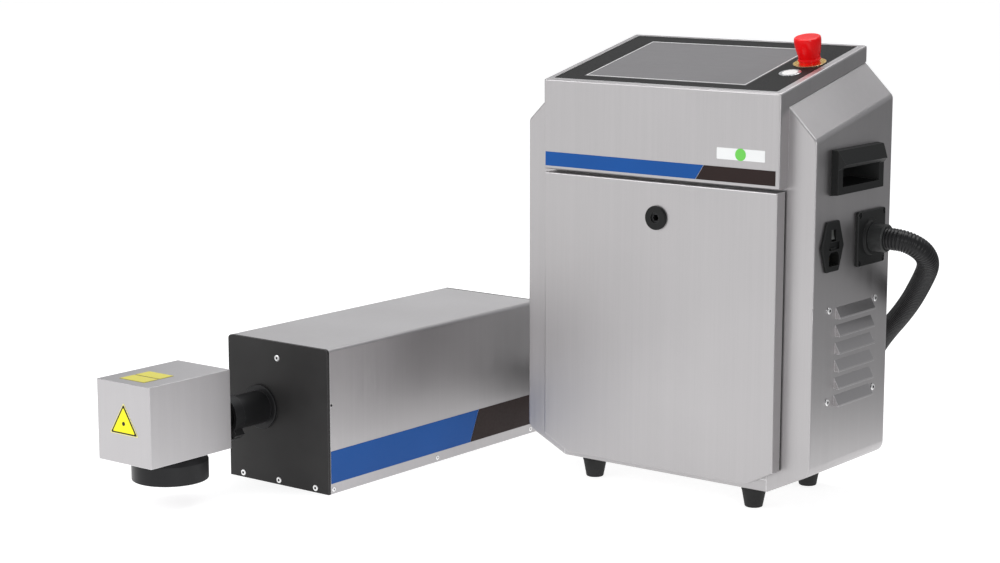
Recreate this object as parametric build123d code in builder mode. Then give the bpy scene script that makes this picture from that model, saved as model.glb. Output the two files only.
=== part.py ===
from build123d import *
import math
import os

os.makedirs("parts", exist_ok=True)

# A date coder made of two free-standing units on one floor: an electronics cabinet and a laser
# head, joined only by a corrugated umbilical. Millimetres, +Z up, front faces towards -Y.

# ---------------------------------------------------------------- cabinet, in its own x and y
SHEET = 1.5                      # folded stainless sheet
BODY_HALF = 197.6                # half the body's width
BODY_FRONT = 18.3                # the body's front face, behind the door's front face at y = 0
BODY_BACK = 188.5
FLOOR_GAP = 25.6                 # height of the feet
BOTTOM_HALF = 142.1              # half the flat bottom, between the lower bevels
LOWER_BEVEL_Z = 52.7
SHOULDER_HALF = 160.0            # half the flat top, between the shoulders
SHOULDER_Z = 467.0               # shoulder's inner edge at the front
SIDE_TOP_Z = 429.7               # shoulder's outer edge at the front
SLOPE = 0.2275                   # rise of the top per millimetre of depth
SLOPE_DEG = math.degrees(math.atan(SLOPE))

HOOD_HALF = 162.0
HOOD_Z = 481.5                   # top edge of the hood's front
HOOD_BOTTOM_Z = 375.6
HOOD_BACK = 188.5
HOOD_BAND = HOOD_Z + SLOPE * BODY_FRONT - SHOULDER_Z  # height of the hood's side band
HOOD_SHEET = 2.0

DOOR_HALF = 160.0
DOOR_TOP_Z = 372.1
DOOR_BOTTOM_Z = 35.4
DOOR_BEVEL = (35.2, 18.6)        # width and height of the door's lower bevels
DOOR_DEPTH = 16.0
HINGE_Y = 14.5                   # door hinge axis
HINGE_Z = 38.5
HINGE_PIN_R = 1.5
EAR_R = 3.4
EAR_THICK = 3.0
EAR_X = 108.0

LOCK_Z = 330.7
LOCK_R = 14.0
FIT = 0.05                       # radial clearance of a running fit

# the opening in the body behind the door
BAY_HALF = 128.0
BAY_LOW = 62.0
BAY_HIGH = 352.0

HANDLE_Y = (51.0, 155.0)
HANDLE_Z = (366.8, 418.4)
HANDLE_BODY = (86.0, 38.0)       # the part of it that goes through the side
INLET_Y = 54.4
INLET_Z = 309.8
INSERT = (55.6, 309.6)           # the mains inlet's body, through the side
INSERT_SIZE = (28.0, 48.0)
FLANGE_Y = 140.5
FLANGE_Z = 310.5
FLANGE_SIDE = 63.0
FLANGE_THICK = 4.0
FLANGE_SINK = 2.4                # depth of its counterbores
FLANGE_PITCH = 55.0
CUFF_END = 222.0                 # where the umbilical leaves the cuff

FAN_Y = 106.3
FAN_Z = 184.3
FAN_SIZE = 119.6
FAN_DEPTH = 25.4
FAN_PITCH = 105.0
LOUVRE_COUNT = 6
LOUVRE_LENGTH = 81.0
LOUVRE_HEIGHT = 13.0
LOUVRE_PITCH = 20.2
LOUVRE_OUT = 6.0
LOUVRE_TOP_Z = 238.5
LOUVRE_Y = 109.5

FOOT_X = 112.6
FOOT_Y = (40.4, 162.7)

# ---------------------------------------------------------------- laser head, on the same floor
HEAD_X = -385.3                  # its middle plane, from the cabinet's
HEAD_FRONT = -227.5              # outer face of the front plate
HEAD_LENGTH = 411.2
HEAD_WIDTH = 160.4
HEAD_HEIGHT = 173.9
PLATE = 4.0
COVER = 2.0
HEAD_CORNER = 5.0
BASE_THICK = 10.0
BEAM_X = HEAD_X - 27.6           # beam axis, parallel to Y
BEAM_Z = 92.0
TUBE_R = 20.0
SCAN_GAP = 78.7                  # front plate to scan head
SCAN_SIZE = (86.2, 127.7, 93.8)
SCAN_X = BEAM_X - 15.0
SCAN_Z = 60.3                    # underside of the scan head
LENS_Y = HEAD_FRONT - 136.6
LENS_R = 44.6
LENS_Z = 30.1
GLAND_Z = 56.0
GLAND_END = 212.0

# ---------------------------------------------------------------- umbilical
HOSE_D = 25.6
COIL_X = -100.0
COIL_Y = 400.0
COIL_R = 141.0

# The origin is on the floor, at the middle of the plan of both units.
PLAN_LEFT = SCAN_X - LENS_R
PLAN_FRONT = HEAD_FRONT - SCAN_GAP - SCAN_SIZE[1]
OX = -(PLAN_LEFT + CUFF_END) / 2
OY = -(PLAN_FRONT + GLAND_END) / 2


def front(y, x=0, z=0):
    """A plane facing the front: sketch x is X, sketch y is Z, and extruding goes towards -Y."""
    return Plane(origin=(OX + x, OY + y, z), x_dir=(1, 0, 0), z_dir=(0, -1, 0))


def side(x, y=0, z=0):
    """A plane facing right: sketch x is Y, sketch y is Z, and extruding goes towards +X."""
    return Plane(origin=(OX + x, OY + y, z), x_dir=(0, 1, 0), z_dir=(1, 0, 0))


def level(z, x=0, y=0):
    """A horizontal plane: extruding goes up."""
    return Plane(origin=(OX + x, OY + y, z))


def panel(u, v, w=0):
    """A plane on the sloping control panel: u is along X, v up the slope, extruding goes out."""
    c, s = math.cos(math.radians(SLOPE_DEG)), math.sin(math.radians(SLOPE_DEG))
    at = (OX + u, OY + v * c - w * s, HOOD_Z + v * s + w * c)
    return Plane(origin=at, x_dir=(1, 0, 0), z_dir=(0, -s, c))


def write(piece, name):
    piece.part.label = name
    export_step(piece.part, f"parts/{name}.step")


# ================================================================ cabinet body
def body_profile(y, inset):
    """The body's octagonal section at depth y, inset by a distance, with its bends rounded."""
    rise = SLOPE * (y - BODY_FRONT)
    half = [
        (BOTTOM_HALF, FLOOR_GAP),
        (BODY_HALF, LOWER_BEVEL_Z),
        (BODY_HALF, SIDE_TOP_Z + rise),
        (SHOULDER_HALF, SHOULDER_Z + rise),
    ]
    with BuildSketch(front(y)) as profile:
        with BuildLine():
            Polyline(*half, *[(-x, z) for x, z in reversed(half)], close=True)
        make_face()
        corners = profile.vertices().group_by(Axis.Y)
        fillet(corners[1], 14)
        fillet(profile.vertices().group_by(Axis.Y)[-2], 8)
        if inset:
            offset(amount=-inset, kind=Kind.INTERSECTION)
    return profile.sketch


with BuildPart() as body_outer:
    loft(sections=[body_profile(BODY_FRONT, 0), body_profile(BODY_BACK, 0)], ruled=True)
    fillet(body_outer.faces().sort_by(Axis.Y)[0].edges(), 2.5)

with BuildPart() as body_inside:
    loft(sections=[body_profile(BODY_FRONT + SHEET, SHEET), body_profile(BODY_BACK - SHEET, SHEET)],
         ruled=True)

with BuildPart() as body_shell:
    add(body_outer.part)
    add(body_inside.part, mode=Mode.SUBTRACT)


def side_panel(sign):
    """One folded side: side wall, shoulder, lower bevel, and its front, top and back flanges."""
    wall = sign * BODY_HALF
    with BuildPart() as made:
        add(body_shell.part)
        with Locations((OX + sign * (BOTTOM_HALF + 100), OY + 100, 250)):
            Box(200, 400, 600, mode=Mode.INTERSECT)
        with BuildSketch(front(BODY_BACK + 1)):
            with Locations((sign * 140, 250)):
                Rectangle(60, 330)
        extrude(amount=SHEET + 2, mode=Mode.SUBTRACT)
        # pressed louvres, open at their lower edges
        for n in range(LOUVRE_COUNT):
            top = LOUVRE_TOP_Z - n * LOUVRE_PITCH
            low = top - LOUVRE_HEIGHT
            with BuildSketch(front(LOUVRE_Y - LOUVRE_LENGTH / 2, wall)):
                with BuildLine():
                    Polyline((0, top), (sign * LOUVRE_OUT, low + 2), (sign * LOUVRE_OUT, low), (0, low),
                             close=True)
                make_face()
            extrude(amount=-LOUVRE_LENGTH)
            lip = sign * (LOUVRE_OUT - SHEET)
            with BuildSketch(front(LOUVRE_Y - LOUVRE_LENGTH / 2 + SHEET, wall)):
                with BuildLine():
                    Polyline((-sign * 4, top - 2), (0, top - 2), (lip, low + 1.5), (lip, low - 1),
                             (-sign * 4, low - 1), close=True)
                make_face()
            extrude(amount=-(LOUVRE_LENGTH - 2 * SHEET), mode=Mode.SUBTRACT)
        with BuildSketch(side(wall - 5)):
            with Locations((sum(HANDLE_Y) / 2, sum(HANDLE_Z) / 2)):
                Rectangle(HANDLE_BODY[0] + 2, HANDLE_BODY[1] + 2)
            if sign > 0:
                with Locations((FAN_Y, FAN_Z)):
                    with GridLocations(FAN_PITCH, FAN_PITCH, 2, 2):
                        Circle(2.2)
                with Locations(INSERT):
                    Rectangle(INSERT_SIZE[0] + 0.6, INSERT_SIZE[1] + 0.6)
                with Locations((FLANGE_Y, FLANGE_Z)):
                    Circle(17)
                    with GridLocations(FLANGE_PITCH, FLANGE_PITCH, 2, 2):
                        Circle(2.1)
        extrude(amount=10, mode=Mode.SUBTRACT)
    return made


right_side_panel = side_panel(1)
write(right_side_panel, "right_side_panel")
left_side_panel = side_panel(-1)
write(left_side_panel, "left_side_panel")

with BuildPart() as base_pan:
    add(body_shell.part)
    with Locations((OX, OY + 100, 0)):
        Box(2 * BOTTOM_HALF, 400, 80, mode=Mode.INTERSECT)
    with BuildSketch(level(20)):
        for y in FOOT_Y:
            with Locations((-FOOT_X, y), (FOOT_X, y)):
                Circle(3.1)
    extrude(amount=10, mode=Mode.SUBTRACT)
write(base_pan, "base_pan")

# The frame between the side panels' front flanges, with the bay's opening and its turned edges.
with BuildPart() as front_frame:
    with BuildSketch(front(BODY_FRONT + SHEET)):
        with Locations((0, 253)):
            Rectangle(2 * BOTTOM_HALF - 0.4, 426)
        with Locations((0, (BAY_LOW + BAY_HIGH) / 2)):
            Rectangle(2 * BAY_HALF, BAY_HIGH - BAY_LOW, mode=Mode.SUBTRACT)
        with Locations((0, 421)):
            Rectangle(200, 50, mode=Mode.SUBTRACT)
    extrude(amount=SHEET)
    with BuildSketch(front(BODY_FRONT + SHEET)):
        with Locations((0, (BAY_LOW + BAY_HIGH) / 2)):
            Rectangle(2 * (BAY_HALF + SHEET), BAY_HIGH - BAY_LOW + 2 * SHEET)
            Rectangle(2 * BAY_HALF, BAY_HIGH - BAY_LOW, mode=Mode.SUBTRACT)
        with Locations((0, BAY_HIGH + SHEET / 2)):
            Rectangle(2 * (BAY_HALF + SHEET), SHEET, mode=Mode.SUBTRACT)
    extrude(amount=-8)
    # hinge ears, which reach forward into the notches of the door
    for sign in (-1, 1):
        with BuildSketch(side(sign * (EAR_X + 1.5 * EAR_THICK + 0.3))):
            with Locations((HINGE_Y, HINGE_Z)):
                Circle(EAR_R)
            with BuildLine():
                Polyline((HINGE_Y - EAR_R, HINGE_Z), (HINGE_Y - EAR_R, 44), (16, 55), (BODY_FRONT, 55),
                         (BODY_FRONT, 44), (HINGE_Y + EAR_R, HINGE_Z), close=True)
            make_face()
            with Locations((HINGE_Y, HINGE_Z)):
                Circle(HINGE_PIN_R + FIT, mode=Mode.SUBTRACT)
        extrude(amount=EAR_THICK / 2, both=True)
        with BuildSketch(front(BODY_FRONT)):
            with Locations((sign * (EAR_X + 9), 49.5)):
                Rectangle(12, 11)
        extrude(amount=SHEET)
write(front_frame, "front_frame")

REAR_OUTLINE = [(150, 34), (181, 56), (181, 478), (156, 503)]
with BuildPart() as rear_panel:
    with BuildSketch(front(BODY_BACK + SHEET)):
        with BuildLine():
            Polyline(*REAR_OUTLINE, *[(-x, z) for x, z in reversed(REAR_OUTLINE)], close=True)
        make_face()
        with Locations((0, 330)):
            with GridLocations(18, 9, 9, 7):
                SlotOverall(13, 3.5, mode=Mode.SUBTRACT)
    extrude(amount=SHEET)
write(rear_panel, "rear_panel")

# ================================================================ hood and control panel
PANEL_U = 152.5                  # half width of the black panel
PANEL_V = (7.5, 188.4)           # its near and far edges, up the slope
SCREEN_U = (-118.0, 101.0)
SCREEN_V = (24.5, 167.5)
ESTOP = (130.5, 116.7)
BUTTON = (129.0, 75.3)
LEDGE = 4.0


def hood_section(grow):
    """The hood's section seen from the side, as points in y and z; grow insets its walls."""
    top = HOOD_Z - grow * math.sqrt(1 + SLOPE ** 2)
    if not grow:
        lower = [(HOOD_BACK, top + SLOPE * HOOD_BACK - HOOD_BAND),
                 (BODY_FRONT, top + SLOPE * BODY_FRONT - HOOD_BAND), (BODY_FRONT, HOOD_BOTTOM_Z)]
        return [(0, HOOD_BOTTOM_Z), (0, top), (HOOD_BACK, top + SLOPE * HOOD_BACK), *lower]
    back = HOOD_BACK - grow
    return [(grow, HOOD_BOTTOM_Z + grow), (grow, top + SLOPE * grow), (back, top + SLOPE * back),
            (back, 440), (BODY_FRONT + 10, 440), (BODY_FRONT + 10, HOOD_BOTTOM_Z + grow)]


with BuildPart() as hood_cover:
    with BuildSketch(side(0)):
        with BuildLine():
            Polyline(*hood_section(0), close=True)
        make_face()
    extrude(amount=HOOD_HALF, both=True)
    edges = hood_cover.edges()
    fillet([e for e in edges if e.center().Y < OY + 0.5 and abs(e.center().Z - 428) > 2], 2.0)
    fillet([e for e in hood_cover.edges() if abs(e.length - (HOOD_Z - HOOD_BOTTOM_Z)) < 6
            and e.center().Y < OY + 0.5], 2.5)
    with BuildSketch(side(0)):
        with BuildLine():
            Polyline(*hood_section(HOOD_SHEET), close=True)
        make_face()
    extrude(amount=HOOD_HALF - HOOD_SHEET, both=True, mode=Mode.SUBTRACT)
    with BuildSketch(panel(0, sum(PANEL_V) / 2, 5)):
        RectangleRounded(2 * PANEL_U + 0.6, PANEL_V[1] - PANEL_V[0] + 0.6, 2)
    extrude(amount=-14, mode=Mode.SUBTRACT)
write(hood_cover, "hood_cover")

with BuildPart() as control_panel:
    with BuildSketch(panel(0, sum(PANEL_V) / 2, -0.3)):
        RectangleRounded(2 * PANEL_U, PANEL_V[1] - PANEL_V[0], 2)
    extrude(amount=-(HOOD_SHEET - 0.3))
    with BuildSketch(panel(0, sum(PANEL_V) / 2, -HOOD_SHEET)):
        RectangleRounded(2 * PANEL_U + LEDGE, PANEL_V[1] - PANEL_V[0] + LEDGE, 2)
    extrude(amount=-LEDGE / 2)
    with BuildSketch(panel(sum(SCREEN_U) / 2, sum(SCREEN_V) / 2, 5)):
        Rectangle(SCREEN_U[1] - SCREEN_U[0] + 3, SCREEN_V[1] - SCREEN_V[0] + 3)
    extrude(amount=-14, mode=Mode.SUBTRACT)
    with BuildSketch(panel(*ESTOP, 5)):
        Circle(14.2)
    extrude(amount=-14, mode=Mode.SUBTRACT)
    with BuildSketch(panel(*BUTTON, 5)):
        Circle(11.2)
    extrude(amount=-14, mode=Mode.SUBTRACT)
write(control_panel, "control_panel")

with BuildPart() as touch_screen:
    with BuildSketch(panel(sum(SCREEN_U) / 2, sum(SCREEN_V) / 2, -0.3)):
        Rectangle(SCREEN_U[1] - SCREEN_U[0] + 2.6, SCREEN_V[1] - SCREEN_V[0] + 2.6)
    extrude(amount=-(HOOD_SHEET + LEDGE / 2 - 0.3))
write(touch_screen, "touch_screen")

with BuildPart() as display_module:
    with BuildSketch(panel(sum(SCREEN_U) / 2, sum(SCREEN_V) / 2, -HOOD_SHEET - LEDGE / 2)):
        Rectangle(SCREEN_U[1] - SCREEN_U[0] + 12, SCREEN_V[1] - SCREEN_V[0] + 10)
    extrude(amount=-9)
    with BuildSketch(panel(sum(SCREEN_U) / 2, sum(SCREEN_V) / 2, -13)):
        Rectangle(150, 90)
    extrude(amount=-6)
write(display_module, "display_module")

# ---------------------------------------------------------------- emergency stop
STOP_RING = 0.6                  # thickness of the ring on the panel
STOP_GAP = STOP_RING + 3.2       # underside of the head, with room to press it 3 mm
STOP_TOP = 31.0
STOP_BORE = 12.0
STOP_NECK = 5.0
with BuildPart() as estop_collar:
    with BuildSketch(panel(*ESTOP)):
        Circle(19)
        Circle(STOP_BORE + FIT, mode=Mode.SUBTRACT)
    extrude(amount=STOP_RING)
    with BuildSketch(panel(*ESTOP)):
        Circle(13.9)
        Circle(STOP_BORE + FIT, mode=Mode.SUBTRACT)
    extrude(amount=-16)
    chamfer(estop_collar.edges().filter_by(GeomType.CIRCLE).sort_by(SortBy.RADIUS)[-1], 0.2)
write(estop_collar, "estop_collar")

with BuildPart() as estop_plunger:
    with BuildSketch(panel(*ESTOP, STOP_GAP - 0.1)):
        Circle(STOP_BORE)
    extrude(amount=-STOP_GAP - 10)
    with BuildSketch(panel(*ESTOP, -10)):
        Circle(4)
    extrude(amount=-12)
    with BuildSketch(panel(*ESTOP, STOP_GAP - 0.1)):
        Circle(STOP_NECK)
    extrude(amount=8)
write(estop_plunger, "estop_plunger")

with BuildPart() as estop_head:
    with BuildSketch(Plane(panel(*ESTOP).origin, x_dir=(1, 0, 0), z_dir=panel(*ESTOP).y_dir)):
        with BuildLine():
            Polyline((0, -STOP_TOP + 0.5), (0, -STOP_GAP - 8), (STOP_NECK + FIT, -STOP_GAP - 8),
                     (STOP_NECK + FIT, -STOP_GAP), (13.2, -STOP_GAP), (13.2, -STOP_GAP - 1.2),
                     (12.3, -STOP_GAP - 2.2))
            Spline((12.3, -STOP_GAP - 2.2), (13.8, -14), (15.1, -21), (15.6, -STOP_TOP + 2.6))
            Polyline((15.6, -STOP_TOP + 2.6), (15.1, -STOP_TOP + 0.8), (13.6, -STOP_TOP), (12.6, -STOP_TOP + 0.4),
                     (0, -STOP_TOP + 0.5))
        make_face()
    revolve(axis=Axis(panel(*ESTOP).origin, panel(*ESTOP).z_dir))
write(estop_head, "estop_head")

with BuildPart() as estop_contacts:
    with BuildSketch(panel(*ESTOP, -16)):
        Rectangle(22, 34)
        Circle(4.6, mode=Mode.SUBTRACT)
    extrude(amount=-12)
    with BuildSketch(panel(*ESTOP, -28)):
        Rectangle(22, 34)
    extrude(amount=-14)
write(estop_contacts, "estop_contacts")

# ---------------------------------------------------------------- power button
BEZEL_BORE = 9.0
BEZEL_RIM = 0.8                  # height of the rim on the panel
with BuildPart() as button_bezel:
    with BuildSketch(panel(*BUTTON)):
        Circle(12.8)
        Circle(BEZEL_BORE + FIT, mode=Mode.SUBTRACT)
    extrude(amount=BEZEL_RIM)
    with BuildSketch(panel(*BUTTON)):
        Circle(10.9)
        Circle(BEZEL_BORE + FIT, mode=Mode.SUBTRACT)
    extrude(amount=-18)
    with BuildSketch(panel(*BUTTON, -18)):
        Circle(10.9)
    extrude(amount=-3)
    chamfer(button_bezel.edges().filter_by(GeomType.CIRCLE).sort_by(SortBy.RADIUS)[-1], 0.3)
write(button_bezel, "button_bezel")

with BuildPart() as button_cap:
    with BuildSketch(panel(*BUTTON, BEZEL_RIM + 0.4)):
        Circle(BEZEL_BORE)
    extrude(amount=-15)
    fillet(button_cap.edges().filter_by(GeomType.CIRCLE).sort_by(Axis.Z)[-1], 0.5)
write(button_cap, "button_cap")


# ================================================================ door
def door_outline(y, inset):
    bevel_w, bevel_h = DOOR_BEVEL
    half = [
        (DOOR_HALF - bevel_w, DOOR_BOTTOM_Z),
        (DOOR_HALF, DOOR_BOTTOM_Z + bevel_h),
        (DOOR_HALF, DOOR_TOP_Z),
    ]
    with BuildSketch(front(y)) as outline:
        with BuildLine():
            Polyline(*half, *[(-x, z) for x, z in reversed(half)], close=True)
        make_face()
        if inset:
            offset(amount=-inset, kind=Kind.INTERSECTION)
    return outline.sketch


with BuildPart() as door_panel:
    extrude(door_outline(0, 0), amount=-DOOR_DEPTH)
    fillet(door_panel.faces().sort_by(Axis.Y)[0].edges(), 2)
    extrude(door_outline(SHEET, SHEET), amount=-DOOR_DEPTH, mode=Mode.SUBTRACT)
    with BuildSketch(front(0)):
        with Locations((0, LOCK_Z)):
            Circle(10.2)
    extrude(amount=-5, mode=Mode.SUBTRACT)
    with BuildSketch(level(DOOR_BOTTOM_Z - 2)):
        for x in (-EAR_X - EAR_THICK, EAR_X + EAR_THICK):
            with Locations((x, DOOR_DEPTH)):
                Rectangle(22, 2 * (DOOR_DEPTH - 6))
    extrude(amount=5, mode=Mode.SUBTRACT)
    # hinge ears, welded inside the door on their own plates
    for sign in (-1, 1):
        with BuildSketch(side(sign * (EAR_X + EAR_THICK / 2))):
            with Locations((HINGE_Y, HINGE_Z)):
                Circle(EAR_R)
            with BuildLine():
                Polyline((SHEET, 39), (SHEET, 56), (6, 56), (HINGE_Y + 2, 41.2), (HINGE_Y, HINGE_Z),
                         (HINGE_Y - 1, 36), (6, 39), close=True)
            make_face()
            with Locations((HINGE_Y, HINGE_Z)):
                Circle(HINGE_PIN_R, mode=Mode.SUBTRACT)
        extrude(amount=EAR_THICK / 2, both=True)
        with BuildSketch(front(SHEET)):
            with Locations((sign * (EAR_X - 6), 50)):
                Rectangle(16, 22)
        extrude(amount=-SHEET)
write(door_panel, "door_panel")

with BuildPart() as hinge_pins:
    for sign in (-1, 1):
        with BuildSketch(side(sign * (EAR_X + EAR_THICK), HINGE_Y, HINGE_Z)):
            Circle(HINGE_PIN_R)
        extrude(amount=5, both=True)
write(hinge_pins, "hinge_pins")

# A foam strip on the body's front face, just inside the door's turned edges.
SEAL_W = 9.0
SEAL_LOW = 56.0
with BuildPart() as door_seal:
    with BuildSketch(front(BODY_FRONT)):
        with Locations((0, (SEAL_LOW + DOOR_TOP_Z - 1) / 2)):
            Rectangle(2 * DOOR_HALF - 1, DOOR_TOP_Z - 1 - SEAL_LOW)
            Rectangle(2 * (DOOR_HALF - SEAL_W) - 1, DOOR_TOP_Z - 1 - SEAL_LOW - 2 * SEAL_W + 8,
                      mode=Mode.SUBTRACT)
    extrude(amount=BODY_FRONT - DOOR_DEPTH - 0.2)
write(door_seal, "door_seal")

# ---------------------------------------------------------------- quarter-turn lock
CORE_R = 6.0
with BuildPart() as lock_housing:
    with BuildSketch(front(0, 0, LOCK_Z)):
        Circle(LOCK_R)
        Circle(CORE_R + FIT, mode=Mode.SUBTRACT)
    extrude(amount=3.5)
    fillet(lock_housing.faces().sort_by(Axis.Y)[0].edges().sort_by(SortBy.RADIUS)[-1], 1.2)
    with BuildSketch(front(0, 0, LOCK_Z)):
        Circle(10)
        Circle(CORE_R + FIT, mode=Mode.SUBTRACT)
    extrude(amount=-19)
    with BuildSketch(front(SHEET, 0, LOCK_Z)):
        RegularPolygon(14, 6)
        Circle(10, mode=Mode.SUBTRACT)
    extrude(amount=-4)
write(lock_housing, "lock_housing")

with BuildPart() as lock_core:
    with BuildSketch(front(-1.5, 0, LOCK_Z)):
        Circle(CORE_R)
    extrude(amount=-25)
    with BuildSketch(front(-1.5, 0, LOCK_Z)):
        RegularPolygon(4.2, 6)
    extrude(amount=-9, mode=Mode.SUBTRACT)
write(lock_core, "lock_core")

CAM_LENGTH = 36.0
CAM_Y = 21.2
with BuildPart() as lock_cam:
    with BuildSketch(front(CAM_Y, 0, LOCK_Z)):
        Circle(9)
        with Locations((-CAM_LENGTH / 2, 0)):
            Rectangle(CAM_LENGTH, 14)
        Circle(CORE_R + 0.01, mode=Mode.SUBTRACT)
    extrude(amount=-2)
write(lock_cam, "lock_cam")

# ================================================================ feet, handles
with BuildPart() as rubber_feet:
    for y in FOOT_Y:
        for x in (-FOOT_X, FOOT_X):
            with BuildSketch(level(0, x, y)):
                Circle(10.3)
            with BuildSketch(level(FLOOR_GAP - 5, x, y)):
                Circle(14.2)
            loft()
            with BuildSketch(level(FLOOR_GAP - 5, x, y)):
                Circle(14.6)
            extrude(amount=5)
            with BuildSketch(level(FLOOR_GAP, x, y)):
                Circle(3)
            extrude(amount=12)
    fillet(rubber_feet.faces().group_by(Axis.Z)[0].edges(), 1.5)
write(rubber_feet, "rubber_feet")


# sections of the handle, out of the side: its frame, and the lip over the finger pocket
FRAME_OUT = 9.0
LIP_OUT = 16.0
LIP_TAPER = 5.0
POCKET_DEPTH = 23.5


def handle(sign):
    """A recessed pull: a moulded frame on the side with a finger pocket under its lip."""
    near, far = HANDLE_Y
    low, high = HANDLE_Z
    middle = (near + far) / 2
    wall = sign * BODY_HALF
    with BuildPart() as made:
        with BuildSketch(front(near, wall)):
            with BuildLine():
                Polyline((0, low), (sign * FRAME_OUT, low + 1), (sign * FRAME_OUT, low + 29),
                         (sign * LIP_OUT, low + 35), (sign * 8, high - 1), (0, high), close=True)
            make_face()
        extrude(amount=-(far - near))
        # the lip's two ends slope back to the frame
        for end, inward in ((near, 1), (far, -1)):
            with BuildSketch(level(low + 29.5)):
                with BuildLine():
                    Polyline((wall + sign * FRAME_OUT, end), (wall + sign * 20, end),
                             (wall + sign * 20, end + inward * LIP_TAPER * 11 / 7), close=True)
                make_face()
            extrude(amount=high - low, mode=Mode.SUBTRACT)
        with BuildSketch(side(wall - sign * 26, middle, (low + high) / 2)):
            Rectangle(*HANDLE_BODY)
        extrude(amount=sign * 26)
        with BuildSketch(side(wall - sign * POCKET_DEPTH, middle, 388)):
            Rectangle(64, 17)
        with BuildSketch(side(wall + sign * 14, middle, 386.5)):
            Rectangle(86, 22)
        loft(mode=Mode.SUBTRACT)
        with BuildSketch(side(wall - sign * POCKET_DEPTH, middle, 400)):
            Rectangle(64, 18)
        extrude(amount=sign * 22, mode=Mode.SUBTRACT)
    return made


handle_right = handle(1)
write(handle_right, "handle_right")
handle_left = handle(-1)
write(handle_left, "handle_left")

# ================================================================ mains inlet
INLET_OUT = 3.2
ROCKER = (55.2, 322.2)
ROCKER_SIZE = (10.0, 12.0)
DRAWER = (56.6, 310.2)
DRAWER_SIZE = (23.0, 8.6)
SOCKET = (56.4, 295.6)
SOCKET_SIZE = (22.4, 16.0)
with BuildPart() as inlet_housing:
    with BuildSketch(side(BODY_HALF, INLET_Y, INLET_Z)) as outline:
        with BuildLine():
            Polyline((-13.4, -28.6), (13.4, -28.6), (24.2, 0), (13.4, 28.6), (-13.4, 28.6), (-24.2, 0),
                     close=True)
        make_face()
        fillet(outline.vertices(), 2)
    extrude(amount=INLET_OUT)
    chamfer(inlet_housing.faces().sort_by(Axis.X)[-1].edges(), 0.9)
    with BuildSketch(side(BODY_HALF)):
        with Locations(INSERT):
            Rectangle(*INSERT_SIZE)
    extrude(amount=-30)
    with BuildSketch(side(BODY_HALF + 10)):
        with Locations(ROCKER):
            Rectangle(ROCKER_SIZE[0] + 0.8, ROCKER_SIZE[1] + 1.6)
    extrude(amount=-24, mode=Mode.SUBTRACT)
    with BuildSketch(side(BODY_HALF + 10)):
        with Locations(DRAWER):
            Rectangle(DRAWER_SIZE[0] + 0.4, DRAWER_SIZE[1] + 0.4)
    extrude(amount=-34, mode=Mode.SUBTRACT)
    with BuildSketch(side(BODY_HALF + 10)) as mouth:
        with Locations(SOCKET):
            Rectangle(*SOCKET_SIZE)
        chamfer(mouth.vertices().group_by(Axis.Y)[-1], 4)
    extrude(amount=-29, mode=Mode.SUBTRACT)
write(inlet_housing, "inlet_housing")

with BuildPart() as inlet_pins:
    with BuildSketch(side(BODY_HALF - 19)):
        with Locations((SOCKET[0], SOCKET[1] + 3)):
            Rectangle(2, 4)
        with Locations((SOCKET[0] - 7, SOCKET[1] - 2), (SOCKET[0] + 7, SOCKET[1] - 2)):
            Rectangle(2, 4)
    extrude(amount=12)
write(inlet_pins, "inlet_pins")

# The rocker rests on its lower half; its pivot is behind the flange.
ROCKER_PIVOT_X = BODY_HALF - 4.0
ROCKER_TILT = 10.0
ROCKER_PLANE = Plane(
    origin=(OX + ROCKER_PIVOT_X, OY + ROCKER[0] - ROCKER_SIZE[0] / 2, ROCKER[1]),
    x_dir=(math.cos(math.radians(ROCKER_TILT)), 0, math.sin(math.radians(ROCKER_TILT))),
    z_dir=(0, -1, 0),
)
with BuildPart() as rocker_switch:
    with BuildSketch(ROCKER_PLANE):
        with BuildLine():
            Polyline((-3, -4.6), (4.6, -5.3), (4.0, 0), (4.6, 5.3), (-3, 4.6), close=True)
        make_face()
    extrude(amount=-ROCKER_SIZE[0])
write(rocker_switch, "rocker_switch")

with BuildPart() as fuse_drawer:
    with BuildSketch(side(BODY_HALF + 0.6)):
        with Locations(DRAWER):
            Rectangle(*DRAWER_SIZE)
    extrude(amount=-3)
    with BuildSketch(side(BODY_HALF - 2.4)):
        with Locations(DRAWER):
            Rectangle(DRAWER_SIZE[0] - 3, DRAWER_SIZE[1] - 1.6)
    extrude(amount=-18)
    with BuildSketch(side(BODY_HALF + 2.2)):
        with Locations((DRAWER[0], DRAWER[1] - DRAWER_SIZE[1] / 2 + 1.2)):
            Rectangle(12, 1.6)
    extrude(amount=-2)
write(fuse_drawer, "fuse_drawer")

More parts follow.
